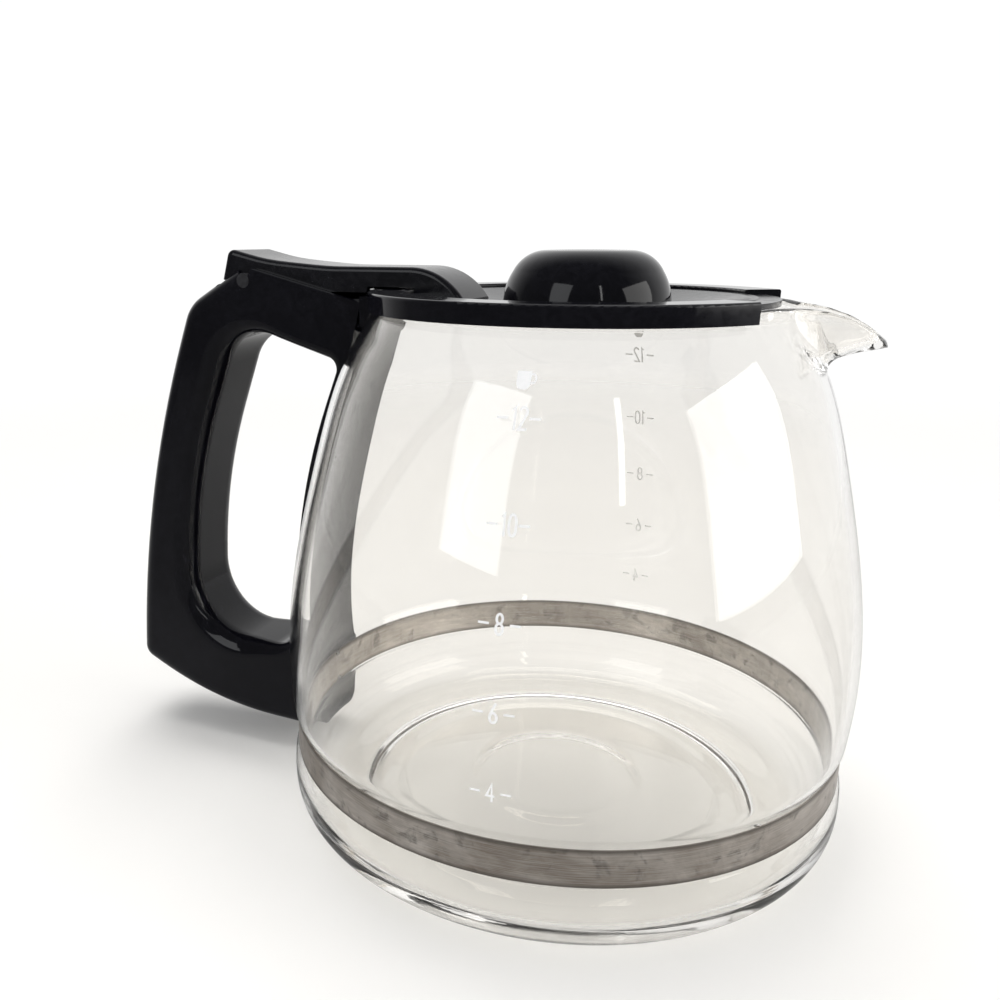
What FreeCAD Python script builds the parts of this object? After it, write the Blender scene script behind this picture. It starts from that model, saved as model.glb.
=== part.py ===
"""Glass coffee pot of a drip coffee maker: glass body, collar, handle, clamp band and hinged lid.

Millimetres. The origin is on the glass body's axis at its resting face. +Z is up, +X points
along the spout and -X along the handle. Every node is one solid.
"""
import FreeCAD, Part
import math
import os

from FreeCAD import Vector

os.makedirs("parts", exist_ok=True)

# Glass body
WALL = 2.0
FOOT_R = 62.5            # where the resting face turns up into the base corner
FOOT_IN_R = 55.6         # inner edge of the ring that the pot stands on
PUNT_H = 2.4             # how far the middle of the base is pushed up
FLOOR_TOP = 5.6          # inside floor at the middle
BELLY_R = 75.7
BAND_R = 73.7            # floor of the groove that holds the band
GROOVE_LOW = 20.4
GROOVE_HIGH = 30.4
NECK_R = 51.3
NECK_Z = 136.6           # where the side turns straight up into the rim
RIM_Z = 138.0            # where the rounded rim starts

# Spout: station x, outer half width, underside height, height of the round bottom
SPOUT = [
    (44.0, 20.0, 117.0, 14.0),
    (50.0, 13.0, 121.5, 11.0),
    (55.5, 9.2, 124.6, 9.0),
    (60.0, 7.2, 127.0, 7.0),
    (64.5, 5.3, 128.5, 5.0),
    (68.6, 3.7, 129.4, 3.0),
    (70.5, 2.2, 129.9, 1.4),
]
SPOUT_TIP_Z = 131.0

# Collar
COLLAR_R = 53.0
FLANGE_R = 43.2
COLLAR_LOW = 136.2
COLLAR_TOP = 140.8
COLLAR_GAP = 31.5        # half angle of the opening over the spout, degrees

# Handle
HANDLE_W = 12.5          # half width
EAR_IN = 10.35           # inner face of each hinge ear
PIVOT = (-91.0, 142.2)
PIN_R = 1.95
BORE_R = 2.0
HEEL_R = 10.8            # room round the pivot for the lid's heel
BACK_ROUND = 5.0
GRIP_ROUND = 6.0         # edges of the opening on the grip's side
STRUT_ROUND = 2.5        # and on the side of the strut along the glass

# Lid
LID_R = 42.5
TONGUE_R = 47.3
ARM_W = 10.0             # half width of the lid's arm
ARM_WALL = 2.0
DISH_Z = 136.7           # floor of the lid's dish, where the dome stands
DOME_X = 1.5
DOME_R = 20.6
DOME_TOP = 150.4
ARM_ROUND = 1.3          # the arm's upper edges

# Clamp band and its screw
BAND_T = 0.5
TAB_Y = 0.8              # inner face of each tab
TAB_END = -88.0
TAB_LOW = 22.0
TAB_HIGH = 28.8
SCREW_X = -82.0
SCREW_Z = 25.4

# Both screws, and the holes for them in the handle
SHANK_R = 1.75
SHANK_HOLE_R = 1.8
HEAD_R = 3.2
HEAD_HOLE_R = 3.5
COLLAR_SCREW_X = -66.0
THREAD_R = 1.48          # the collar screw's end, driven into the collar
THREAD_HOLE_R = 1.5


def xz(point, y=0.0):
    return Vector(point[0], y, point[1])


def line(a, b, y=0.0):
    return Part.makeLine(xz(a, y), xz(b, y))


def arc(a, mid, b, y=0.0):
    return Part.Arc(xz(a, y), xz(mid, y), xz(b, y)).toShape()


def curve(points, y=0.0, start=None, end=None):
    """A smooth curve through points, with end directions where they matter."""
    spline = Part.BSplineCurve()
    if start and end:
        spline.interpolate(
            Points=[xz(p, y) for p in points],
            InitialTangent=xz(start),
            FinalTangent=xz(end),
        )
    else:
        spline.interpolate([xz(p, y) for p in points])
    return spline.toShape()


def crown(top, edge):
    """An arc from the axis out to an edge in the XZ plane, level where it meets the axis."""
    drop = top - edge[1]
    radius = (edge[0] ** 2 + drop ** 2) / (2 * drop)
    half = edge[0] / 2
    return arc((0, top), (half, top - radius + math.sqrt(radius ** 2 - half ** 2)), edge)


def path(points, y=0.0):
    return [line(a, b, y) for a, b in zip(points, points[1:])]


def rounded(corners):
    """A closed outline of straight runs joined by tangent arcs, from (x, z, radius) corners."""
    count = len(corners)
    runs = []
    for i, (x, z, radius) in enumerate(corners):
        here = FreeCAD.Vector(x, 0, z)
        to_last = (xz(corners[i - 1]) - here).normalize()
        to_next = (xz(corners[(i + 1) % count]) - here).normalize()
        half = to_last.getAngle(to_next) / 2
        reach = radius / math.tan(half)
        middle = (to_last + to_next).normalize() * (radius / math.sin(half) - radius)
        runs.append((here + to_last * reach, here + middle, here + to_next * reach, radius))
    edges = []
    for i, (begin, mid, end, radius) in enumerate(runs):
        if radius:
            edges.append(Part.Arc(begin, mid, end).toShape())
        edges.append(Part.makeLine(end, runs[(i + 1) % count][0]))
    return edges


def revolve(edges, start=0.0, angle=360.0):
    """Turn a closed outline in the XZ plane about the Z axis."""
    solid = Part.Face(Part.Wire(edges)).revolve(Vector(0, 0, 0), Vector(0, 0, 1), angle)
    if start:
        solid.rotate(Vector(0, 0, 0), Vector(0, 0, 1), start)
    return solid


def ring(r_in, r_out, low, high, start=0.0, angle=360.0):
    corners = [(r_in, low), (r_out, low), (r_out, high), (r_in, high), (r_in, low)]
    return revolve(path(corners), start, angle)


def slab(edges, half_width):
    """Extrude a closed outline in the XZ plane to both sides of Y = 0."""
    face = Part.Face(Part.Wire(edges))
    face.translate(Vector(0, -half_width, 0))
    return face.extrude(Vector(0, 2 * half_width, 0))


def box(x, y, z):
    return Part.makeBox(
        x[1] - x[0], y[1] - y[0], z[1] - z[0], Vector(x[0], y[0], z[0])
    )


def rod_y(x, z, radius, y_from, y_to):
    return Part.makeCylinder(radius, y_to - y_from, Vector(x, y_from, z), Vector(0, 1, 0))


def rod_z(x, radius, z_from, z_to):
    return Part.makeCylinder(radius, z_to - z_from, Vector(x, 0, z_from), Vector(0, 0, 1))


def save(shape, name):
    shape = shape.removeSplitter()
    if not shape.isValid() or len(shape.Solids) != 1:
        print("check", name, shape.isValid(), len(shape.Solids))
    shape.Solids[0].exportStep("parts/%s.step" % name)
    print("%-14s %9.1f mm3" % (name, shape.Volume))


# ---------------------------------------------------------------- glass body
def outer_side(grow=0.0):
    """Outside of the glass from the foot to the neck, moved out by grow."""
    foot = (FOOT_R + grow, -grow)
    corner_top = (74.9 + grow, 19.2)
    groove_end = (74.9 + grow, 31.8)
    neck = (NECK_R + grow, NECK_Z)
    corner = [foot, (71.0 + grow, 3.1), (74.5 + grow, 8.0), (75.3 + grow, 14.5), corner_top]
    groove = [corner_top, (BAND_R + grow, GROOVE_LOW), (BAND_R + grow, GROOVE_HIGH), groove_end]
    side = [
        groove_end,
        (BELLY_R + grow, 43.0),
        (73.15 + grow, 72.5),
        (66.8 + grow, 100.0),
        (57.6 + grow, 126.5),
        neck,
    ]
    return [curve(corner, start=(6, 0), end=(-1, 6))] + path(groove) + [curve(side)]


def filled_body(grow=0.0):
    """The glass body as if it were solid, for making room round it or inside its wall."""
    low, top = -grow, RIM_Z + 1.0 + grow
    ends = path([(NECK_R + grow, NECK_Z), (NECK_R + grow, top), (0, top), (0, low), (FOOT_R + grow, low)])
    return revolve(outer_side(grow) + ends)


def inner_side():
    """Inside of the glass from the neck down: the side, a ridge behind the band and the floor."""
    inside = NECK_R - WALL
    floor = (52.0, 3.6)
    side = [(inside, NECK_Z), (55.6, 126.0), (64.8, 100.0), (71.15, 72.5), (73.7, 43.0), (72.8, 32.6)]
    ridge = [(72.8, 32.6), (71.7, 30.2), (71.7, 20.6), (72.6, 18.6)]
    low = [(72.6, 18.6), (73.2, 15.0), (72.6, 10.5), (68.0, 5.4), floor]
    return [curve(side)] + path(ridge) + [curve(low, start=(2, -5), end=(-6, -0.3)), crown(FLOOR_TOP, floor)]


def glass_wall():
    """The blown body with its rounded rim and its base pushed up inside the foot."""
    inside = NECK_R - WALL
    rim = [
        line((NECK_R, NECK_Z), (NECK_R, RIM_Z)),
        arc((NECK_R, RIM_Z), (NECK_R - WALL / 2, RIM_Z + WALL / 2), (inside, RIM_Z)),
        line((inside, RIM_Z), (inside, NECK_Z)),
    ]
    base = [
        line((0, FLOOR_TOP), (0, PUNT_H)),
        crown(PUNT_H, (54.0, 0.9)),
        line((54.0, 0.9), (FOOT_IN_R, 0)),
        line((FOOT_IN_R, 0), (FOOT_R, 0)),
    ]
    return revolve(outer_side() + rim + inner_side() + base)


def half_ellipse(x, half, z, round_h):
    """The lower half of an ellipse in the plane X = x, from +Y to -Y, as one spline."""
    steps = 6
    points = []
    for i in range(steps + 1):
        turn = math.pi * i / steps
        points.append(Vector(x, half * math.cos(turn), z - round_h * math.sin(turn)))
    spline = Part.BSplineCurve()
    spline.interpolate(Points=points, InitialTangent=Vector(0, 0, -1), FinalTangent=Vector(0, 0, 1))
    return spline.toShape()


def spout_section(x, half, low, round_h, top):
    """A U across the spout: straight sides on half an ellipse."""
    side_z = low + round_h
    edges = [
        Part.makeLine(Vector(x, half, top), Vector(x, half, side_z)),
        half_ellipse(x, half, side_z, round_h),
        Part.makeLine(Vector(x, -half, side_z), Vector(x, -half, top)),
        Part.makeLine(Vector(x, -half, top), Vector(x, half, top)),
    ]
    return Part.Wire(edges)


def spout(inset):
    """The spout as a solid loft, inset by the wall for its inside."""
    top = RIM_Z + 4.0
    sections = []
    for x, half, low, round_h in SPOUT:
        narrow = max(half - inset, 0.5)
        sections.append(spout_section(x - 0.6 * inset, narrow, low + inset, round_h, top))
    return Part.makeLoft(sections, True, False)


def above_rim():
    """Everything above the spout's rim, which falls to the tip."""
    tip = (70.6, SPOUT_TIP_Z)
    rim = [(40.0, 138.95), (48.0, 138.9), (55.5, 138.3), (60.0, 137.3), (64.5, 135.6), (68.6, 133.0), tip]
    top = RIM_Z + 12.0
    edges = [curve(rim)] + path([tip, (80.0, SPOUT_TIP_Z), (80.0, top), (40.0, top), (40.0, 138.95)])
    return slab(edges, 30.0)


def glass_pot():
    # the spout starts in the middle of the neck's wall, so that the two join in one body
    middle = NECK_R - WALL / 2
    inside = filled_body(-WALL / 2).fuse(rod_z(0, middle, NECK_Z, RIM_Z + 6))
    lip = spout(0.0).cut(above_rim()).cut(inside)
    return glass_wall().fuse(lip).cut(spout(WALL))


# ---------------------------------------------------------------- collar
def neck_collar():
    """A C-shaped cap over the glass rim, with a saddle and a root that the handle grips."""
    section = (
        path([(51.6, COLLAR_LOW), (COLLAR_R, COLLAR_LOW), (COLLAR_R, COLLAR_TOP - 0.6)])
        + [arc((COLLAR_R, COLLAR_TOP - 0.6), (52.82, COLLAR_TOP - 0.18), (52.4, COLLAR_TOP))]
        + path([(52.4, COLLAR_TOP), (43.7, COLLAR_TOP)])
        + [arc((43.7, COLLAR_TOP), (43.35, COLLAR_TOP - 0.15), (FLANGE_R, COLLAR_TOP - 0.5))]
        + path([
            (FLANGE_R, COLLAR_TOP - 0.5),
            (FLANGE_R, 137.2),
            (44.6, 137.2),
            (44.6, 139.3),
            (51.6, 139.3),
            (51.6, COLLAR_LOW),
        ])
    )
    cap = revolve(section, COLLAR_GAP, 360.0 - 2 * COLLAR_GAP)
    saddle = ring(52.0, 55.9, 131.5, 139.0, 180.0 - 17.0, 34.0)
    root = box((-71.0, -54.5), (-EAR_IN + 0.1, EAR_IN - 0.1), (129.6, 138.0))
    mount = saddle.fuse(root).cut(filled_body(0.3))
    collar = cap.fuse(mount)
    return collar.cut(rod_z(COLLAR_SCREW_X, THREAD_HOLE_R, 129.0, 136.5))


# ---------------------------------------------------------------- handle
def handle_outline():
    """Side view of the handle, running past the glass on its inner side."""
    return rounded([
        (-55.1, 137.2, 0),
        (-88.2, 145.2, 0),
        (-93.8, 145.6, 0),
        (-111.4, 135.3, 12),
        (-133.7, 79.5, 350),
        (-139.1, 22.5, 5),
        (-111.8, 9.2, 105),
        (-78.0, 8.2, 0),
        (-66.0, 8.2, 0),
        (-56.0, 60.0, 0),
        (-59.6, 120.0, 0),
    ])


def handle_opening():
    """The finger opening between the grip and the strut that follows the glass."""
    return rounded([
        (-62.7, 121.5, 3),
        (-95.7, 131.4, 14),
        (-115.1, 80.3, 165),
        (-117.6, 34.2, 18),
        (-79.3, 34.4, 9),
        (-79.4, 78.4, 180),
    ])


def on_side(edge):
    """Whether an edge lies in one of the handle's two flat sides."""
    c = edge.BoundBox
    return abs(abs(c.Center.y) - HANDLE_W) < 0.01 and c.YLength < 0.01


def is_back_corner(edge):
    """An edge of the grip's back; the rounding runs on along the edges that it meets smoothly."""
    return on_side(edge) and edge.BoundBox.XMin < -138.0


def opening_round(point):
    """Radius of the opening's rounded edge at a point: large on the grip, small on the strut."""
    grip_x, strut_x = -100.0, -82.0
    share = min(max((point.x - grip_x) / (strut_x - grip_x), 0.0), 1.0)
    return GRIP_ROUND + (STRUT_ROUND - GRIP_ROUND) * share


def is_opening_edge(edge):
    c = edge.BoundBox
    return on_side(edge) and -118.0 < c.XMin and c.XMax < -60.0 and 33.0 < c.ZMin and c.ZMax < 128.0


def round_opening(frame):
    """Round the opening's edges with a radius that changes along them."""
    doc = FreeCAD.newDocument("rounding")
    base = doc.addObject("Part::Feature", "base")
    base.Shape = frame
    rounding = doc.addObject("Part::Fillet", "rounding")
    rounding.Base = base
    rounding.Edges = [
        (
            number + 1,
            opening_round(edge.valueAt(edge.FirstParameter)),
            opening_round(edge.valueAt(edge.LastParameter)),
        )
        for number, edge in enumerate(base.Shape.Edges)
        if is_opening_edge(edge)
    ]
    doc.recompute()
    shape = rounding.Shape.copy()
    FreeCAD.closeDocument(doc.Name)
    return shape


def handle():
    frame = slab(handle_outline(), HANDLE_W).cut(slab(handle_opening(), HANDLE_W + 5))
    frame = frame.makeFillet(BACK_ROUND, [e for e in frame.Edges if is_back_corner(e)])
    frame = round_opening(frame)

    # pocket for the lid's arm, open at the top, and the heel's swing behind the pivot
    px, pz = PIVOT
    pocket = slab(
        path([(px, 134.0), (-71.2, 134.0), (-71.2, 129.5), (-50.0, 129.5), (-50.0, 150.0), (px, 150.0),
              (px, 134.0)]),
        EAR_IN,
    )
    swing = rod_y(px, pz, HEEL_R, -EAR_IN, EAR_IN)
    behind = box((px - HEEL_R, px), (-EAR_IN, EAR_IN), (pz, pz + 10))
    frame = frame.cut(pocket).cut(swing).cut(behind)

    # bores for the pin, with the lead-in that it snaps through
    frame = frame.cut(rod_y(px, pz, BORE_R, -20, 20))
    lead_in = path([(px - 1.6, pz + 0.8), (px + 1.6, pz + 0.8), (px + 3.0, pz + 5), (px - 3.0, pz + 5),
                    (px - 1.6, pz + 0.8)])
    frame = frame.cut(slab(lead_in, 20))

    # room for the glass, the band, its tabs and the two screws
    frame = frame.cut(filled_body(0.4))
    frame = frame.cut(ring(60.0, BAND_R + BAND_T + 0.3, GROOVE_LOW - 0.4, GROOVE_HIGH + 0.4))
    frame = frame.cut(box((TAB_END - 1.5, -70.0), (-1.6, 1.6), (TAB_LOW - 0.8, TAB_HIGH + 1.0)))
    frame = frame.cut(rod_y(SCREW_X, SCREW_Z, SHANK_HOLE_R, -9.4, 14))
    frame = frame.cut(rod_y(SCREW_X, SCREW_Z, HEAD_HOLE_R, 10.2, 14))
    frame = frame.cut(rod_z(COLLAR_SCREW_X, SHANK_HOLE_R, 118, 131))
    frame = frame.cut(rod_z(COLLAR_SCREW_X, HEAD_HOLE_R, 115, 125))
    return max(frame.Solids, key=lambda s: s.Volume)


# ---------------------------------------------------------------- fasteners and band
def clamp_band():
    """A strip round the glass whose two ends turn out into the handle's foot."""
    low, high = GROOVE_LOW + 0.3, GROOVE_HIGH - 0.3
    outer = TAB_Y + BAND_T
    hoop = ring(BAND_R, BAND_R + BAND_T, low, high)
    hoop = hoop.cut(box((-80, -60), (-outer, outer), (low - 1, high + 1)))
    tabs = [box((TAB_END, -BAND_R), side, (TAB_LOW, TAB_HIGH)) for side in ((TAB_Y, outer), (-outer, -TAB_Y))]
    # the narrow bridge where the ends are folded keeps the strip in one piece
    bridge = box((-BAND_R - 0.4, -BAND_R), (-outer, outer), (TAB_LOW, TAB_HIGH))
    return hoop.fuse(tabs).fuse(bridge).cut(rod_y(SCREW_X, SCREW_Z, 2.0, -3, 3))


def band_screw():
    shank = rod_y(SCREW_X, SCREW_Z, SHANK_R, -9.2, 10.4)
    head = rod_y(SCREW_X, SCREW_Z, HEAD_R, 10.3, 12.2)
    cross = cross_slot(Vector(SCREW_X, 12.4, SCREW_Z), "y")
    return shank.fuse(head).cut(cross)


def collar_screw():
    x = COLLAR_SCREW_X
    shank = rod_z(x, SHANK_R, 124.9, 129.4).fuse(rod_z(x, THREAD_R, 129.3, 136.0))
    head = rod_z(x, HEAD_R, 123.1, 125.0)
    cross = cross_slot(Vector(x, 0, 122.9), "z")
    return shank.fuse(head).cut(cross)


def cross_slot(centre, axis):
    """The cross recess of a screw head, 1.3 deep from its face."""
    long, short, deep = 1.8, 0.45, 1.3
    bars = []
    for a, b in ((long, short), (short, long)):
        half = Vector(a, deep, b) if axis == "y" else Vector(a, b, deep)
        low = centre - half
        bars.append(Part.makeBox(2 * half.x, 2 * half.y, 2 * half.z, low))
    return bars[0].fuse(bars[1])


def hinge_pin():
    end = HANDLE_W - 0.1
    return rod_y(PIVOT[0], PIVOT[1], PIN_R, -end, end)


# ---------------------------------------------------------------- lid
def arm_outline():
    """Side view of the lid's arm, from the heel over the collar to its landing on the lid."""
    px, pz = PIVOT
    heel_top, heel_back = (-95.17, 150.09), (-97.53, 148.71)
    flat = (-62.3, 146.2)
    shoulder = (-42.0, 146.2)
    landing = (-27.6, 138.4)
    top = [
        curve([heel_top, (-86.8, 148.2), (-74.4, 146.85), flat], start=(9.76, -2.2), end=(12, 0)),
        line(flat, shoulder),
        arc(shoulder, (-33.4, 143.8), landing),
    ]
    under = path([
        landing,
        (-27.6, 136.6),
        (-41.0, 138.6),
        (-41.0, 141.2),
        (-54.2, 141.2),
        (-54.6, 139.7),
        (-86.9, 139.7),
    ])
    heel = [
        arc((-86.9, 139.7), (px, pz - 4.4), (-95.4, 141.3)),
        line((-95.4, 141.3), (-99.4, 142.4)),
        line((-99.4, 142.4), heel_back),
        arc(heel_back, (-96.63, 149.86), heel_top),
    ]
    return top + under + heel


def is_arm_edge(edge):
    """An edge along the arm's top or the back of its heel."""
    c = edge.BoundBox
    return abs(abs(c.Center.y) - ARM_W) < 0.01 and c.YLength < 0.01 and c.ZMax > 145.0


def arm_hollow():
    """The underside of the arm is open between its two side walls."""
    return path([
        (-96.2, 140.0),
        (-95.6, 148.2),
        (-86.8, 146.2),
        (-74.4, 144.85),
        (-62.3, 144.2),
        (-43.0, 144.2),
        (-43.0, 139.0),
        (-60.0, 136.0),
        (-96.2, 136.0),
        (-96.2, 140.0),
    ])


def lid():
    """The dished lid with its pouring tongue, locating skirt and long arm."""
    dish = revolve(
        path([
            (13.0, DISH_Z),
            (22.4, DISH_Z),
            (40.6, 139.8),
            (LID_R - 0.4, 139.9),
            (LID_R, 139.5),
            (LID_R, 138.1),
            (40.6, 138.0),
            (40.0, 136.0),
            (38.4, 136.0),
            (38.2, 137.4),
            (22.0, 134.8),
            (13.0, 134.7),
            (13.0, DISH_Z),
        ])
    )
    turn = COLLAR_GAP - 1.2
    tongue = ring(41.0, TONGUE_R, 138.3, 139.7, -turn, 2 * turn)
    arm = slab(arm_outline(), ARM_W)
    arm = arm.makeFillet(ARM_ROUND, [e for e in arm.Edges if is_arm_edge(e)])
    arm = arm.cut(slab(arm_hollow(), ARM_W - ARM_WALL))
    boss = rod_y(PIVOT[0], PIVOT[1], 3.6, -ARM_W, ARM_W)
    bore = rod_y(PIVOT[0], PIVOT[1], PIN_R, -ARM_W - 1, ARM_W + 1)
    return dish.fuse(tongue).fuse(arm).fuse(boss).cut(bore)


def lid_dome():
    """The hollow boss over the middle of the lid, with the drip hole in its dimpled top."""
    shoulder, crest = (18.3, 145.6), (9.0, DOME_TOP)
    inner_shoulder, inner_crest = (16.6, 144.6), (8.6, 149.2)
    edges = (
        [arc((DOME_R, DISH_Z), (20.1, 141.6), shoulder), arc(shoulder, (14.7, 149.3), crest)]
        + path([crest, (7.6, DOME_TOP), (3.2, 150.0), (3.2, 148.4), inner_crest])
        + [arc(inner_crest, (13.4, 147.6), inner_shoulder)]
        + [arc(inner_shoulder, (18.3, 140.9), (18.8, DISH_Z))]
        + path([(18.8, DISH_Z), (DOME_R, DISH_Z)])
    )
    dome = revolve(edges)
    dome.translate(Vector(DOME_X, 0, 0))
    return dome


save(glass_pot(), "glass_pot")
save(neck_collar(), "neck_collar")
save(handle(), "handle")
save(clamp_band(), "clamp_band")
save(band_screw(), "band_screw")
save(collar_screw(), "collar_screw")
save(hinge_pin(), "hinge_pin")
save(lid(), "lid")
save(lid_dome(), "lid_dome")
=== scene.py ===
"""Looks of the glass coffee pot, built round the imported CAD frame. Metres, +Z up, spout along +X.

The glass and its print are worked out in millimetres and turned into metres in mesh_object.
"""

import math

import bpy
import numpy as np
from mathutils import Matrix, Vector


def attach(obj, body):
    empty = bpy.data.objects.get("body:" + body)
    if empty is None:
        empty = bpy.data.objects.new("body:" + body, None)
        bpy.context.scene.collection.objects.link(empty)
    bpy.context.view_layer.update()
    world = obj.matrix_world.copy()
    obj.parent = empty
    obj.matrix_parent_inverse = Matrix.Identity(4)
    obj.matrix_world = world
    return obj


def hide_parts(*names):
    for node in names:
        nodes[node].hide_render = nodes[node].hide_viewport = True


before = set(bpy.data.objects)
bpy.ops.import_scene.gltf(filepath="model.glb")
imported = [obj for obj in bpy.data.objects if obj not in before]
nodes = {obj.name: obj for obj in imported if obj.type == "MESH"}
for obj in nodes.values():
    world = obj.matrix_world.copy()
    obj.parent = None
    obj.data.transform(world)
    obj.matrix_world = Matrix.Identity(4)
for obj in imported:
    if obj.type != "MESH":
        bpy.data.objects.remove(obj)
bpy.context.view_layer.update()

MM = 0.001

# Glass body, millimetres: (radius, height) points of the blown shape, outside first
WALL = 2.0
FOOT_IN = (55.6, 0.0)    # inner edge of the ring that the pot stands on
CORNER = [(62.5, 0.0), (71.0, 3.1), (74.5, 8.0), (75.3, 14.5), (74.9, 19.2)]
GROOVE = [(73.7, 20.4), (73.7, 30.4)]    # where the clamp band sits
SIDE = [(74.9, 31.8), (75.63, 43.0), (73.15, 72.5), (66.8, 100.0), (57.6, 126.5), (51.3, 136.6)]
RIM_Z = 138.0
FLOOR = [
    (0, 5.6), (21.5, 5.5), (24.5, 4.8), (43.5, 4.6),
    (46.5, 4.1), (50.5, 4.0), (53.0, 3.5), (56.0, 3.6),
]
FLOOR_EDGE = [(56.0, 3.6), (68.0, 5.4), (72.6, 10.5), (73.2, 15.0), (72.6, 18.6)]
RIDGE = [(71.7, 20.6), (71.7, 30.2)]     # inside of the groove
BASE = [
    (0, 2.5), (21.0, 2.4), (24.5, 1.5), (43.0, 1.3), (46.5, 1.9),
    (51.0, 1.8), (54.2, 0.7), (55.6, 0), (56.6, 0),
]
STEADY_Z = 33.0          # above this a profile only rises, so its radius can be read off by height
SHOULDER_Z = 108.0       # above this the wall takes in the spout
OUTER_SOFT = 0.8         # how far corners are rounded: outside, inside, base
INNER_SOFT = 1.3
BASE_SOFT = 0.6
LOW_ROWS = 84            # rows of mesh points: outside up to the shoulder,
UPPER_ROWS = 40          # from there to the rim,
BEAD_ROWS = 7            # over the rim,
INNER_ROWS = 190         # inside from the floor to the shoulder,
BASE_ROWS = 90           # and under the base
FLOOR_SKIP = 3           # rows left out round the middle of the floor

# Spout, millimetres: x, half width, underside height, height of the round bottom
SPOUT = np.array([
    (44.0, 20.0, 117.0, 14.0),
    (50.0, 13.0, 121.5, 11.0),
    (55.5, 9.2, 124.6, 9.0),
    (60.0, 7.2, 127.0, 7.0),
    (64.5, 5.3, 128.5, 5.0),
    (68.6, 3.7, 129.4, 3.0),
    (70.5, 2.2, 129.9, 1.4),
])
SPOUT_RIM = np.array([
    (40.0, 139.0), (48.0, 138.9), (55.5, 138.3), (60.0, 137.3), (64.5, 135.6), (68.6, 133.0), (70.7, 131.0),
])
SPOUT_START = 34.0       # inside the neck
SPOUT_END = 70.8
TIP_ROUND = 3.8          # radius of the lip seen from above
TIP_WALL = 1.3           # wall at the lip
INSET_SHIFT = 0.6        # the inside is set back along the spout by this part of the wall
LEAST_HALF = 0.25        # least half width of the inside, as a part of the wall
BLEND = 6.0              # how softly the spout runs into the neck
SPOUT_SIDE = math.radians(40)    # the spout lies within this angle of +X

# Measuring scale, millimetres: one on each side of the pot, at these angles from the spout in degrees
SCALE_ANGLES = (-85.9, 85.9)
MARKS = {"12": 119.3, "10": 98.9, "8": 79.3, "6": 60.8, "4": 42.6}
ICON_Z = 126.4
DIGIT_H = 4.6
DIGIT_PITCH = 1.85
DASH_X = 3.35
DASH_HALF = 1.15
STROKE = 0.52
DASH_STROKE = 0.9 * STROKE
RING_STROKE = 0.36
PRINT_LIFT = 0.02        # gap under the print, so that its back stays off the glass
PRINT_T = 0.06

# Clamp band and floor, metres
BAND_RADIUS = 0.074
BAND_MIDDLE = 0.0254     # height of its middle line
FLOOR_REACH = 6.0
FLOOR_Z = -0.0002        # just under the foot, so that the two faces don't coincide


# ---------------------------------------------------------------- shapes
def smooth_curve(points, steps, start=None, end=None):
    """A cubic curve with even bending through points, as steps + 1 points.

    start and end are the directions that it leaves and arrives in, free where they are None.
    """
    p = np.array(points, float)
    t = np.concatenate([[0], np.cumsum(np.linalg.norm(np.diff(p, axis=0), axis=1))])
    h = np.diff(t)
    n = len(p)
    a = np.zeros((n, n))
    b = np.zeros((n, 2))
    for i in range(1, n - 1):
        a[i, i - 1:i + 2] = h[i - 1], 2 * (h[i - 1] + h[i]), h[i]
        b[i] = 6 * ((p[i + 1] - p[i]) / h[i] - (p[i] - p[i - 1]) / h[i - 1])
    a[0, 0] = a[-1, -1] = 1
    if start is not None:
        a[0, :2] = 2 * h[0], h[0]
        b[0] = 6 * ((p[1] - p[0]) / h[0] - unit(start))
    if end is not None:
        a[-1, -2:] = h[-1], 2 * h[-1]
        b[-1] = 6 * (unit(end) - (p[-1] - p[-2]) / h[-1])
    m = np.linalg.solve(a, b)
    s = np.linspace(0, t[-1], steps + 1)
    i = np.clip(np.searchsorted(t, s, side="right") - 1, 0, n - 2)
    u, v, w = (t[i + 1] - s)[:, None], (s - t[i])[:, None], h[i][:, None]
    return (
        m[i] * u ** 3 / (6 * w) + m[i + 1] * v ** 3 / (6 * w)
        + (p[i] / w - m[i] * w / 6) * u + (p[i + 1] / w - m[i + 1] * w / 6) * v
    )


def unit(v):
    return np.array(v, float) / np.linalg.norm(v)


def resample(line, count):
    """count points evenly spaced along a polyline."""
    line = np.array(line, float)
    t = np.concatenate([[0], np.cumsum(np.linalg.norm(np.diff(line, axis=0), axis=1))])
    s = np.linspace(0, t[-1], count)
    return np.stack([np.interp(s, t, line[:, k]) for k in range(line.shape[1])], axis=1)


def soften(line, reach, step=0.25):
    """Round a polyline's corners by averaging along it, with its ends kept."""
    line = np.array(line, float)
    length = np.linalg.norm(np.diff(line, axis=0), axis=1).sum()
    even = resample(line, int(length / step) + 2)
    width = int(3 * reach / step)
    kernel = np.exp(-0.5 * (np.arange(-width, width + 1) * step / reach) ** 2)
    kernel /= kernel.sum()
    padded = np.concatenate([2 * even[0] - even[width:0:-1], even, 2 * even[-1] - even[-2:-width - 2:-1]])
    return np.stack([np.convolve(padded[:, k], kernel, "valid") for k in range(2)], axis=1)


def mesh_object(name, verts, faces, material, smooth=True):
    mesh = bpy.data.meshes.new(name)
    points = [tuple(v) for v in np.asarray(verts, float) * MM]
    mesh.from_pydata(points, [], [tuple(int(i) for i in f) for f in faces])
    mesh.validate()
    mesh.update()
    if smooth:
        mesh.shade_smooth()
    else:
        mesh.shade_flat()
    obj = bpy.data.objects.new(name, mesh)
    bpy.context.scene.collection.objects.link(obj)
    obj.data.materials.append(material)
    return obj


def grid_faces(rows, columns, base=0):
    """Quads between rows of columns points each, closed round each row."""
    faces = []
    for r in range(rows - 1):
        for c in range(columns):
            n = (c + 1) % columns
            a, b = base + r * columns, base + (r + 1) * columns
            faces.append((a + c, a + n, b + n, b + c))
    return faces


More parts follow.
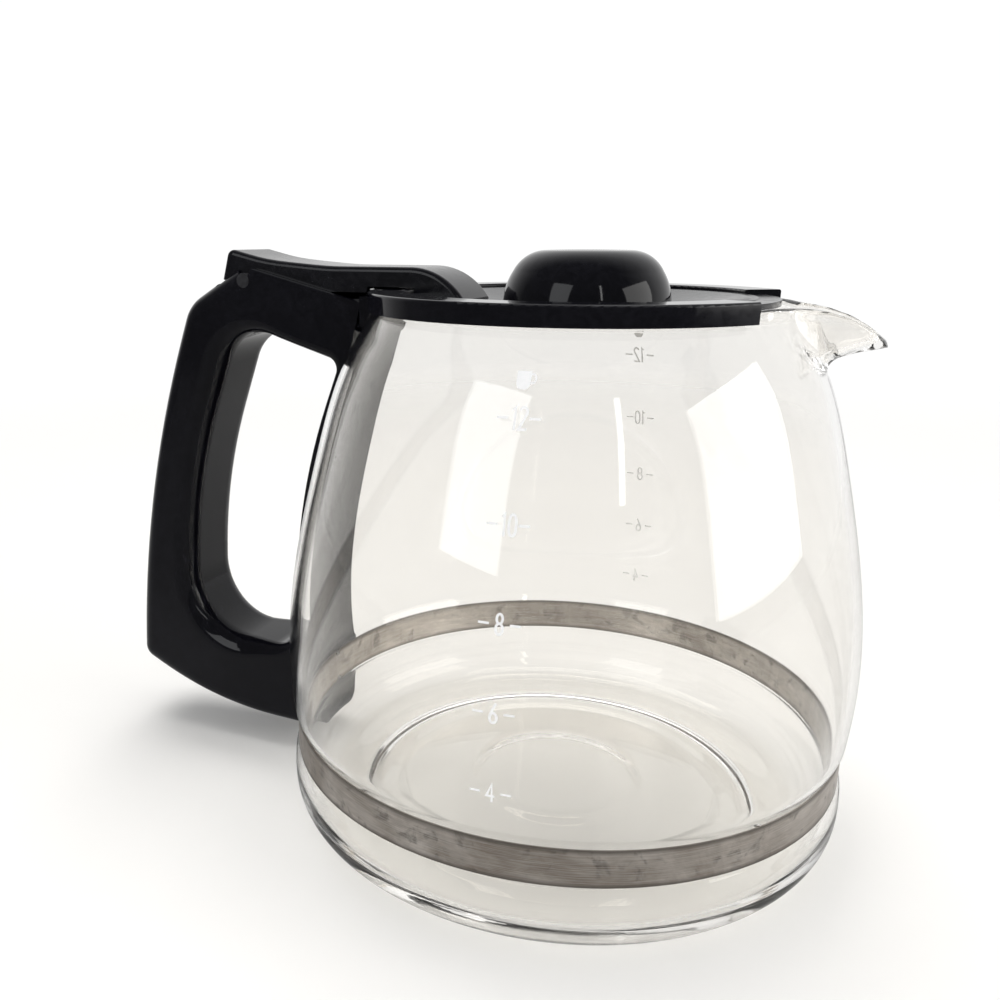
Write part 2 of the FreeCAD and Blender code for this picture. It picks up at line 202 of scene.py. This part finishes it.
# ---------------------------------------------------------------- materials
def material(name):
    m = bpy.data.materials.new(name)
    m.use_nodes = True
    tree = m.node_tree
    shader = tree.nodes["Principled BSDF"]
    return m, tree, shader


def add(tree, kind, inputs=None, **settings):
    node = tree.nodes.new(kind)
    for key, value in settings.items():
        setattr(node, key, value)
    for key, value in (inputs or {}).items():
        if isinstance(value, bpy.types.NodeSocket):
            tree.links.new(value, node.inputs[key])
        else:
            node.inputs[key].default_value = value
    return node


def maths(tree, operation, a, b=0.0, clamp=False):
    return add(tree, "ShaderNodeMath", {0: a, 1: b}, operation=operation, use_clamp=clamp).outputs[0]


def noise(tree, vector, scale, detail=2.0, rough=0.5, distortion=0.0):
    return add(tree, "ShaderNodeTexNoise", {
        "Vector": vector, "Scale": scale, "Detail": detail, "Roughness": rough, "Distortion": distortion,
    }).outputs["Fac"]


def ramp(tree, value, low, high, to_low, to_high):
    """value from low to high becomes to_low to to_high."""
    return add(tree, "ShaderNodeMapRange", {
        "Value": value, "From Min": low, "From Max": high, "To Min": to_low, "To Max": to_high,
    }).outputs["Result"]


def mix_colour(tree, factor, a, b):
    node = add(tree, "ShaderNodeMix", data_type="RGBA")
    for index, value in ((0, factor), (6, a), (7, b)):
        if isinstance(value, bpy.types.NodeSocket):
            tree.links.new(value, node.inputs[index])
        else:
            node.inputs[index].default_value = value
    return node.outputs[2]


def bump(tree, shader, height, strength, distance):
    node = add(tree, "ShaderNodeBump", {"Height": height, "Strength": strength, "Distance": distance})
    tree.links.new(node.outputs["Normal"], shader.inputs["Normal"])


def object_point(tree):
    return add(tree, "ShaderNodeTexCoord").outputs["Object"]


def black_plastic(name, rough, colour):
    """Moulded black plastic: slight ripple from the mould, hazy patches and fine scuffs."""
    m, tree, shader = material(name)
    p = object_point(tree)
    haze = noise(tree, p, 45.0, 4.0, 0.6)
    scuff = noise(tree, p, 500.0, 2.0, 0.5, 1.0)
    worn = maths(tree, "MULTIPLY", haze, scuff)
    dusty = tuple(c * 1.8 + 0.0015 for c in colour[:3]) + (1.0,)
    tint = mix_colour(tree, ramp(tree, worn, 0.18, 0.42, 0.0, 1.0), colour, dusty)
    tree.links.new(tint, shader.inputs["Base Color"])
    tree.links.new(ramp(tree, worn, 0.12, 0.42, rough * 0.85, rough * 1.4), shader.inputs["Roughness"])
    shader.inputs["IOR"].default_value = 1.5
    shader.inputs["Specular IOR Level"].default_value = 0.25
    bump(tree, shader, noise(tree, p, 90.0, 1.0), 0.05, 0.0003)
    return m


def clear_glass(name):
    """Borosilicate: clear with a faint warm tint, blown slightly uneven, and passing lamp light."""
    m, tree, shader = material(name)
    p = object_point(tree)
    shader.inputs["Base Color"].default_value = (0.935, 0.927, 0.910, 1.0)
    shader.inputs["Transmission Weight"].default_value = 1.0
    shader.inputs["IOR"].default_value = 1.474
    smear = noise(tree, p, 30.0, 4.0, 0.6, 0.6)
    tree.links.new(ramp(tree, smear, 0.45, 0.8, 0.0, 0.045), shader.inputs["Roughness"])
    bump(tree, shader, noise(tree, p, 22.0, 1.0), 0.05, 0.002)
    out = tree.nodes["Material Output"]
    clear = add(tree, "ShaderNodeBsdfTransparent", {"Color": (0.87, 0.868, 0.86, 1.0)})
    lamp = add(tree, "ShaderNodeLightPath").outputs["Is Shadow Ray"]
    both = add(tree, "ShaderNodeMixShader", {0: lamp, 1: shader.outputs[0], 2: clear.outputs[0]})
    tree.links.new(both.outputs[0], out.inputs["Surface"])
    return m


def round_the_axis(tree, stretch):
    """A point whose X runs round the pot's axis and whose Y is the height, stretched along the first."""
    split = add(tree, "ShaderNodeSeparateXYZ", {0: object_point(tree)})
    turn = maths(tree, "ARCTAN2", split.outputs["Y"], split.outputs["X"])
    along = maths(tree, "MULTIPLY", turn, BAND_RADIUS * stretch)
    return add(tree, "ShaderNodeCombineXYZ", {"X": along, "Y": split.outputs["Z"]}).outputs[0]


def stained_steel(name):
    """Brushed steel strip: fine lines along its length, brown heat stain, dark spots and dark edges."""
    m, tree, shader = material(name)
    lines = noise(tree, round_the_axis(tree, 0.02), 4200.0, 3.0, 0.7)
    streaks = noise(tree, round_the_axis(tree, 0.25), 800.0, 3.0, 0.6, 0.4)
    p = object_point(tree)
    stain = noise(tree, p, 34.0, 5.0, 0.62, 0.8)
    spots = noise(tree, p, 210.0, 3.0, 0.6, 0.5)
    height = add(tree, "ShaderNodeSeparateXYZ", {0: p}).outputs["Z"]
    off_middle = maths(tree, "ABSOLUTE", maths(tree, "SUBTRACT", height, BAND_MIDDLE))
    stained = ramp(tree, stain, 0.40, 0.62, 0.0, 1.0)
    base = mix_colour(tree, stained, (0.64, 0.585, 0.53, 1), (0.30, 0.25, 0.205, 1))
    base = mix_colour(tree, ramp(tree, streaks, 0.35, 0.70, 0.0, 0.5), base, (0.27, 0.24, 0.21, 1))
    base = mix_colour(tree, ramp(tree, spots, 0.57, 0.68, 0.0, 0.75), base, (0.15, 0.13, 0.11, 1))
    base = mix_colour(tree, ramp(tree, lines, 0.40, 0.72, 0.0, 0.6), base, (0.72, 0.69, 0.65, 1))
    base = mix_colour(tree, ramp(tree, off_middle, 0.0034, 0.0045, 0.0, 0.8), base, (0.13, 0.115, 0.10, 1))
    tree.links.new(base, shader.inputs["Base Color"])
    shader.inputs["Metallic"].default_value = 0.8
    tree.links.new(ramp(tree, stain, 0.3, 0.7, 0.26, 0.44), shader.inputs["Roughness"])
    bump(tree, shader, lines, 0.15, 0.0001)
    return m


def plated_steel(name):
    """Zinc-plated steel with a fine grain."""
    m, tree, shader = material(name)
    p = object_point(tree)
    grain = noise(tree, p, 1500.0, 3.0, 0.6)
    tint = mix_colour(tree, grain, (0.55, 0.55, 0.57, 1), (0.72, 0.71, 0.69, 1))
    tree.links.new(tint, shader.inputs["Base Color"])
    shader.inputs["Metallic"].default_value = 1.0
    tree.links.new(ramp(tree, grain, 0.3, 0.7, 0.22, 0.38), shader.inputs["Roughness"])
    bump(tree, shader, grain, 0.1, 0.0001)
    return m


def enamel_print(name):
    """Fired-on white print, slightly uneven and worn thin in places."""
    m, tree, shader = material(name)
    p = object_point(tree)
    wear = noise(tree, p, 700.0, 3.0, 0.6)
    worn = ramp(tree, wear, 0.35, 0.75, 0.0, 1.0)
    tint = mix_colour(tree, worn, (0.98, 0.98, 0.99, 1), (0.90, 0.91, 0.92, 1))
    tree.links.new(tint, shader.inputs["Base Color"])
    tree.links.new(ramp(tree, wear, 0.3, 0.7, 0.35, 0.6), shader.inputs["Roughness"])
    bump(tree, shader, wear, 0.15, 0.0001)
    return m


GLASS = clear_glass("clear_glass")
GLOSS = black_plastic("black_gloss", 0.06, (0.0022, 0.0022, 0.0034, 1.0))
SATIN = black_plastic("black_satin", 0.15, (0.0035, 0.0035, 0.0048, 1.0))
PIN = black_plastic("pin_plastic", 0.30, (0.016, 0.016, 0.018, 1.0))
BAND = stained_steel("band_steel")
PLATED = plated_steel("screw_steel")
PRINT = enamel_print("scale_print")


# ---------------------------------------------------------------- glass body
def outer_profile():
    """Outside of the glass from the foot's inner edge to where the neck turns straight up."""
    corner = smooth_curve(CORNER, 40, (6, 0), (-1, 6))
    side = smooth_curve(SIDE, 90)
    return soften(np.concatenate([[FOOT_IN], corner, GROOVE, side]), OUTER_SOFT)


def inner_profile():
    """Inside of the glass from the middle of the floor to the neck, a wall's thickness inside the outside."""
    edge = smooth_curve(FLOOR_EDGE, 50, (6, 0.3), (-2, 5))
    side = smooth_curve(SIDE, 90)
    along = np.gradient(side, axis=0)
    along /= np.linalg.norm(along, axis=1)[:, None]
    side = side + WALL * np.stack([-along[:, 1], along[:, 0]], axis=1)
    return soften(np.concatenate([FLOOR, edge[1:], RIDGE, side]), INNER_SOFT)


OUTER = outer_profile()
INNER = inner_profile()


def radius_at(profile, z):
    """The wall's radius at height z, read from the part of a profile that rises steadily."""
    wall = profile[np.argmax(profile[:, 1] > STEADY_Z):]
    return np.interp(z, wall[:, 1], wall[:, 0])


def soft_max(a, b, k):
    """The larger of a and b, blended where they are within k of each other."""
    h = np.maximum(k - np.abs(a - b), 0) / k
    return np.maximum(a, b) + h * h * k / 4


def spout_half_width(x, slack=0.0):
    """Half of the spout's greatest width at x, with the lip rounded off."""
    half = np.interp(x, SPOUT[:, 0], SPOUT[:, 1])
    over = np.clip(x - (SPOUT_END - TIP_ROUND), 0, TIP_ROUND)
    lip = np.sqrt(np.maximum(TIP_ROUND ** 2 - over ** 2, 0)) + slack
    return np.minimum(half, np.where(over > 0, lip, np.inf))


def spout_reach(tangent, z, inset):
    """How far out the spout's wall lies along a direction from the axis, at heights z."""
    x = np.linspace(SPOUT_START, SPOUT_END - TIP_WALL * inset / WALL, 520)
    station = x + INSET_SHIFT * inset
    half = spout_half_width(station, LEAST_HALF * inset)
    half = np.maximum(half - inset, LEAST_HALF * inset)
    low = np.interp(station, SPOUT[:, 0], SPOUT[:, 2]) + inset
    rise = np.interp(station, SPOUT[:, 0], SPOUT[:, 3])
    up = np.clip((z[:, None] - low) / rise, 0, 1)
    width = half * np.sqrt(np.clip(1 - (1 - up) ** 2, 0, 1))
    width = np.where(z[:, None] < low, -1.0, width)
    margin = width - x * tangent
    inside = margin >= 0
    last = np.where(inside.any(1), x.size - 1 - np.argmax(inside[:, ::-1], axis=1), 0)
    nxt = np.minimum(last + 1, x.size - 1)
    rows = np.arange(len(z))
    m0, m1 = margin[rows, last], margin[rows, nxt]
    part = np.where((m0 > 0) & (m1 < 0), m0 / np.maximum(m0 - m1, 1e-9), 0.0)
    reach = (x[last] + part * (x[nxt] - x[last])) * math.hypot(1, tangent)
    return np.where(inside.any(1), reach, 0.0)


def upper_wall(angle, profile, inset):
    """The wall from the shoulder to the rim's bead in one direction, spout included: (r, z) points."""
    z = np.linspace(SHOULDER_Z, RIM_Z + 0.2, 900)
    radius = radius_at(profile, z)
    if abs(angle) < SPOUT_SIDE:
        radius = soft_max(radius, spout_reach(abs(math.tan(angle)), z, inset), BLEND)
    top = np.interp(radius * math.cos(angle), SPOUT_RIM[:, 0], SPOUT_RIM[:, 1]) - WALL / 2
    above = z > top
    end = np.argmax(above) if above.any() else len(z) - 1
    return resample(np.stack([radius, z], axis=1)[:end + 1], UPPER_ROWS)


def azimuths():
    """Directions round the pot, close together along the spout's edge."""
    lip = SPOUT_END - 0.35 * np.arange(1, 8) ** 1.15
    x = np.concatenate([[SPOUT_END], lip, np.arange(67.0, 49.0, -0.7)])
    x = np.array(sorted(set(np.round(x, 3)), reverse=True))
    near = np.arctan2(spout_half_width(x), x)
    near = near[near > 1e-4]
    rest = np.linspace(near.max(), math.pi, 86)[1:-1]
    side = np.concatenate([near, rest])
    return np.concatenate([[0.0], side, [math.pi], -side[::-1]])


def glass_body():
    """One closed skin: foot, outside, rounded rim, inside, floor and the pushed-up base."""
    angles = azimuths()
    columns = len(angles)
    outer_low = resample(OUTER[:np.argmax(OUTER[:, 1] > SHOULDER_Z)], LOW_ROWS)[:-1]
    inner_low = resample(INNER[:np.argmax(INNER[:, 1] > SHOULDER_Z)], INNER_ROWS)[:-1]
    floor = inner_low[::-1][:-FLOOR_SKIP]
    turn = np.linspace(0, math.pi, BEAD_ROWS + 2)[1:-1]
    stack = []
    for angle in angles:
        out = upper_wall(angle, OUTER, 0.0)
        back = upper_wall(angle, INNER, WALL)[::-1]
        a, b = out[-1], back[0]
        up = min(WALL / 2, 0.5 * np.linalg.norm(b - a) + 0.05)
        arc = (a + b) / 2 + (a - b) / 2 * np.cos(turn)[:, None] + np.array([0, up]) * np.sin(turn)[:, None]
        stack.append(np.concatenate([outer_low, out, arc, back, floor]))
    stack = np.array(stack)
    rows = stack.shape[1]
    cos, sin = np.cos(angles), np.sin(angles)
    verts = []
    for r in range(rows):
        verts += list(zip(stack[:, r, 0] * cos, stack[:, r, 0] * sin, stack[:, r, 1]))
    faces = grid_faces(rows, columns)
    # the middle of the floor
    verts.append((0.0, 0.0, FLOOR[0][1]))
    centre = len(verts) - 1
    last = (rows - 1) * columns
    faces += [(last + c, last + (c + 1) % columns, centre) for c in range(columns)]
    # the base, from its middle to the foot's inner edge
    base = soften(BASE, BASE_SOFT)
    base = base[base[:, 0] < FOOT_IN[0] - 0.3]
    base = resample(base, BASE_ROWS)[1:]
    first = len(verts)
    for r, z in base:
        verts += list(zip(r * cos, r * sin, np.full(columns, max(z, 0.0))))
    faces += grid_faces(len(base), columns, base=first)
    end = first + (len(base) - 1) * columns
    faces += [(end + c, end + (c + 1) % columns, (c + 1) % columns, c) for c in range(columns)]
    verts.append((0.0, 0.0, BASE[0][1]))
    faces += [(first + (c + 1) % columns, first + c, len(verts) - 1) for c in range(columns)]
    obj = mesh_object("glass_body", verts, faces, GLASS)
    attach(obj, "pot")
    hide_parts("glass_pot")


# ---------------------------------------------------------------- printed scale
def ellipse(cx, cy, rx, ry, start, end, steps=18, power=2.0):
    """Part of an ellipse, or of a squarer oval with a higher power, in degrees from +X."""
    points = []
    for i in range(steps + 1):
        a = math.radians(start + (end - start) * i / steps)
        c, s = math.cos(a), math.sin(a)
        x = math.copysign(abs(c) ** (2 / power), c)
        y = math.copysign(abs(s) ** (2 / power), s)
        points.append((cx + rx * x, cy + ry * y))
    return points


def digit_strokes(digit):
    """Strokes of a narrow digit in a box 0.36 wide and 1 high, centred on (0, 0)."""
    w, h = 0.16, 0.45
    return {
        "0": [ellipse(0, 0, w, h, 0, 360, 36, 2.5)],
        "1": [[(-0.09, 0.32), (0.03, h), (0.03, -h - 0.05)]],
        "2": [ellipse(0, 0.27, w, 0.18, 165, -25, 16) + [(-w - 0.01, -h), (w + 0.02, -h)]],
        "4": [[(0.07, -h - 0.05), (0.07, h), (-w - 0.02, -0.18), (w + 0.04, -0.18)]],
        "6": [[(0.10, h + 0.03), (-w + 0.005, -0.10)] + ellipse(0, -0.22, w, 0.23, 160, 520, 32)],
        "8": [ellipse(0, 0.24, 0.135, 0.21, 0, 360, 30), ellipse(0, -0.21, w, 0.24, 0, 360, 30)],
    }[digit]


def ribbon(line, width):
    """The two edges of a flat stroke along a line."""
    p = np.array(line, float)
    closed = np.linalg.norm(p[0] - p[-1]) < 1e-6
    ahead = np.roll(p, -1, axis=0) - p
    behind = p - np.roll(p, 1, axis=0)
    if closed:
        ahead[-1] = ahead[0]
        behind[0] = behind[-1]
    else:
        ahead[-1] = behind[-1]
        behind[0] = ahead[0]
    ahead /= np.linalg.norm(ahead, axis=1)[:, None]
    behind /= np.linalg.norm(behind, axis=1)[:, None]
    mean = ahead + behind
    mean /= np.linalg.norm(mean, axis=1)[:, None]
    stretch = 1 / np.clip((mean * ahead).sum(1), 0.5, 1)
    side = np.stack([-mean[:, 1], mean[:, 0]], axis=1) * (width / 2 * stretch)[:, None]
    return p + side, p - side


def resample_pair(left, right):
    """Both edges of a stroke with extra points, so that it follows the curved glass."""
    left, right = np.array(left, float), np.array(right, float)
    out_l, out_r = [left[0]], [right[0]]
    for i in range(len(left) - 1):
        steps = max(1, int(np.linalg.norm(left[i + 1] - left[i]) / 0.4))
        for k in range(1, steps + 1):
            out_l.append(left[i] + (left[i + 1] - left[i]) * k / steps)
            out_r.append(right[i] + (right[i + 1] - right[i]) * k / steps)
    return np.array(out_l), np.array(out_r)


def print_patch(shapes, angle, z0):
    """Thin solids on the glass from flat outlines: each shape is (left edge, right edge) in millimetres."""
    verts, faces = [], []
    for left, right in shapes:
        left, right = resample_pair(left, right)
        n = len(left)
        for lift in (PRINT_LIFT, PRINT_LIFT + PRINT_T):
            for edge in (left, right):
                for u, v in edge:
                    r = radius_at(OUTER, z0 + v) + lift
                    a = math.radians(angle) + u / radius_at(OUTER, z0)
                    verts.append((r * math.cos(a), r * math.sin(a), z0 + v))
        b = len(verts) - 4 * n
        for i in range(n - 1):
            faces.append((b + 2 * n + i, b + 2 * n + i + 1, b + 3 * n + i + 1, b + 3 * n + i))
            faces.append((b + i + 1, b + i, b + n + i, b + n + i + 1))
            faces.append((b + i, b + i + 1, b + 2 * n + i + 1, b + 2 * n + i))
            faces.append((b + n + i + 1, b + n + i, b + 3 * n + i, b + 3 * n + i + 1))
        for i in (0, n - 1):
            quad = (b + i, b + 2 * n + i, b + 3 * n + i, b + n + i)
            faces.append(quad if i == 0 else quad[::-1])
    return verts, faces


def mark_shapes(text):
    """A number between two dashes, centred on (0, 0)."""
    shapes = []
    for k, digit in enumerate(text):
        shift = (k - (len(text) - 1) / 2) * DIGIT_PITCH
        for line in digit_strokes(digit):
            placed = [(x * DIGIT_H + shift, y * DIGIT_H) for x, y in line]
            shapes.append(ribbon(placed, STROKE))
    for side in (-1, 1):
        x = side * DASH_X
        shapes.append(ribbon([(x - DASH_HALF, 0), (x + DASH_HALF, 0)], DASH_STROKE))
    return shapes


def cup_shapes():
    """A plain cup: a filled bowl with rounded lower corners, and a ring for its handle."""
    rows = []
    for i in range(15):
        v = 1.7 - 3.4 * i / 14
        near_foot = max(0.0, (-v - 0.5) / 1.2)
        rows.append((v, 1.5 - 0.10 * (1.7 - v) / 3.4 - 0.75 * near_foot ** 2.4))
    bowl = ([(-w, v) for v, w in rows], [(w, v) for v, w in rows])
    ring = ribbon(ellipse(1.75, 0.35, 0.75, 0.85, 120, -110, 20), RING_STROKE)
    return [bowl, ring]


def piece_of_print(name, shapes, angle, z):
    verts, faces = print_patch(shapes, angle, z)
    obj = mesh_object(name, verts, faces, PRINT, smooth=False)
    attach(obj, "pot")


def printed_scale():
    for angle, side in zip(SCALE_ANGLES, ("near", "far")):
        for text, z in MARKS.items():
            piece_of_print("print_%s_%s" % (side, text), mark_shapes(text), angle, z)
        piece_of_print("print_%s_cup" % side, cup_shapes(), angle, ICON_Z)


# ---------------------------------------------------------------- CAD nodes that stay
def dress_nodes():
    looks = {
        "neck_collar": GLOSS, "handle": GLOSS, "lid_dome": GLOSS, "lid": SATIN, "hinge_pin": PIN,
        "clamp_band": BAND, "band_screw": PLATED, "collar_screw": PLATED,
    }
    for name, look in looks.items():
        data = nodes[name].data
        data.materials.clear()
        data.materials.append(look)


# ---------------------------------------------------------------- stage
def in_a_reflection(tree):
    """1 where a ray has just been mirrored by a surface, and 0 where it is seen directly or through glass."""
    path = add(tree, "ShaderNodeLightPath")
    glossy, through = path.outputs["Is Glossy Ray"], path.outputs["Is Transmission Ray"]
    return maths(tree, "SUBTRACT", glossy, through, clamp=True)


def stage():
    """A pale floor that fades out before its edge; where the pot mirrors it, its colour is painted darker, a
    painted shade that is darkest in front.
    """
    m, tree, shader = material("floor")
    p = object_point(tree)
    tint = mix_colour(tree, noise(tree, p, 3.0, 3.0), (0.86, 0.855, 0.845, 1), (0.89, 0.885, 0.875, 1))
    across = add(tree, "ShaderNodeSeparateXYZ", {0: p}).outputs["Y"]
    behind = ramp(tree, across, -0.15, 0.1, 0.0, 1.0)
    # painted shade: seen in a reflection, the floor gets a dark grey colour in front of the pot and a mid
    # grey one behind it, in place of its own pale colour
    painted_mirror_shade = mix_colour(tree, behind, (0.24, 0.24, 0.24, 1), (0.55, 0.55, 0.55, 1))
    tint = mix_colour(tree, in_a_reflection(tree), tint, painted_mirror_shade)
    tree.links.new(tint, shader.inputs["Base Color"])
    shader.inputs["Roughness"].default_value = 0.75
    shader.inputs["Specular IOR Level"].default_value = 0.1
    away = add(tree, "ShaderNodeVectorMath", {0: p}, operation="LENGTH").outputs["Value"]
    tree.links.new(ramp(tree, away, 0.35, 1.1, 1.0, 0.0), shader.inputs["Alpha"])
    mesh = bpy.data.meshes.new("floor")
    corners = [(x * FLOOR_REACH, y * FLOOR_REACH, FLOOR_Z) for x, y in ((-1, -1), (1, -1), (1, 1), (-1, 1))]
    mesh.from_pydata(corners, [], [(0, 1, 2, 3)])
    floor = bpy.data.objects.new("floor", mesh)
    floor.data.materials.append(m)
    bpy.context.scene.collection.objects.link(floor)


def area_light(name, place, target, size, power, colour=(1, 1, 1)):
    light = bpy.data.lights.new(name, "AREA")
    light.shape = "RECTANGLE"
    light.size, light.size_y = size
    light.energy = power
    light.color = colour
    obj = bpy.data.objects.new(name, light)
    obj.location = place
    obj.rotation_euler = (Vector(target) - Vector(place)).to_track_quat("-Z", "Y").to_euler()
    bpy.context.scene.collection.objects.link(obj)
    return obj


def lights():
    """A white room, two windows, the gap of a door and a soft ceiling light."""
    world = bpy.data.worlds.new("studio")
    world.use_nodes = True
    tree = world.node_tree
    shader = tree.nodes["Background"]
    shader.inputs["Color"].default_value = (1.0, 1.0, 1.0, 1.0)
    # glossy black would turn grey in an all-white room, so reflections see a room that is dim in front
    direction = add(tree, "ShaderNodeTexCoord").outputs["Generated"]
    back = add(tree, "ShaderNodeSeparateXYZ", {0: direction}).outputs["Y"]
    room = ramp(tree, back, -0.1, 0.6, 0.14, 0.9)
    strength = add(tree, "ShaderNodeMix", {0: in_a_reflection(tree), 2: 1.02, 3: room}).outputs[0]
    lit = add(tree, "ShaderNodeLightPath").outputs["Is Diffuse Ray"]
    strength = add(tree, "ShaderNodeMix", {0: lit, 2: strength, 3: 0.40}).outputs[0]
    tree.links.new(strength, shader.inputs["Strength"])
    bpy.context.scene.world = world
    middle = (0, 0, 0.07)
    area_light("left_window", (-0.50, -1.14, 0.64), middle, (0.62, 0.85), 4.0, (0.96, 0.98, 1.0))
    area_light("right_window", (1.30, 0.02, 0.46), middle, (1.05, 0.85), 8.5, (1.0, 0.99, 0.97))
    area_light("door_gap", (0.68, -0.98, 0.70), middle, (0.05, 0.62), 0.6)
    ceiling = area_light("ceiling", (-0.20, 0.25, 1.45), middle, (1.1, 1.1), 16, (1.0, 0.985, 0.96))
    ceiling.visible_glossy = False


def camera():
    data = bpy.data.cameras.new("camera")
    data.sensor_width = 36.0
    data.lens = 34.554
    data.shift_x = 0.0796
    data.shift_y = 0.0569
    data.clip_start = 0.01
    data.clip_end = 50
    obj = bpy.data.objects.new("camera", data)
    obj.location = (0.06227, -0.24252, 0.15350)
    forward = Vector((-0.3792, 0.8696, -0.3163))
    obj.rotation_euler = forward.to_track_quat("-Z", "Y").to_euler()
    bpy.context.scene.collection.objects.link(obj)
    bpy.context.scene.camera = obj


camera()
lights()
stage()
dress_nodes()
glass_body()
printed_scale()
bpy.context.scene.view_settings.view_transform = "Standard"
# light is mirrored many times inside the thick edges of the glass
bpy.context.scene.cycles.max_bounces = 24
bpy.context.scene.cycles.glossy_bounces = 16
bpy.context.scene.cycles.transmission_bounces = 24
bpy.context.scene.cycles.transparent_max_bounces = 16
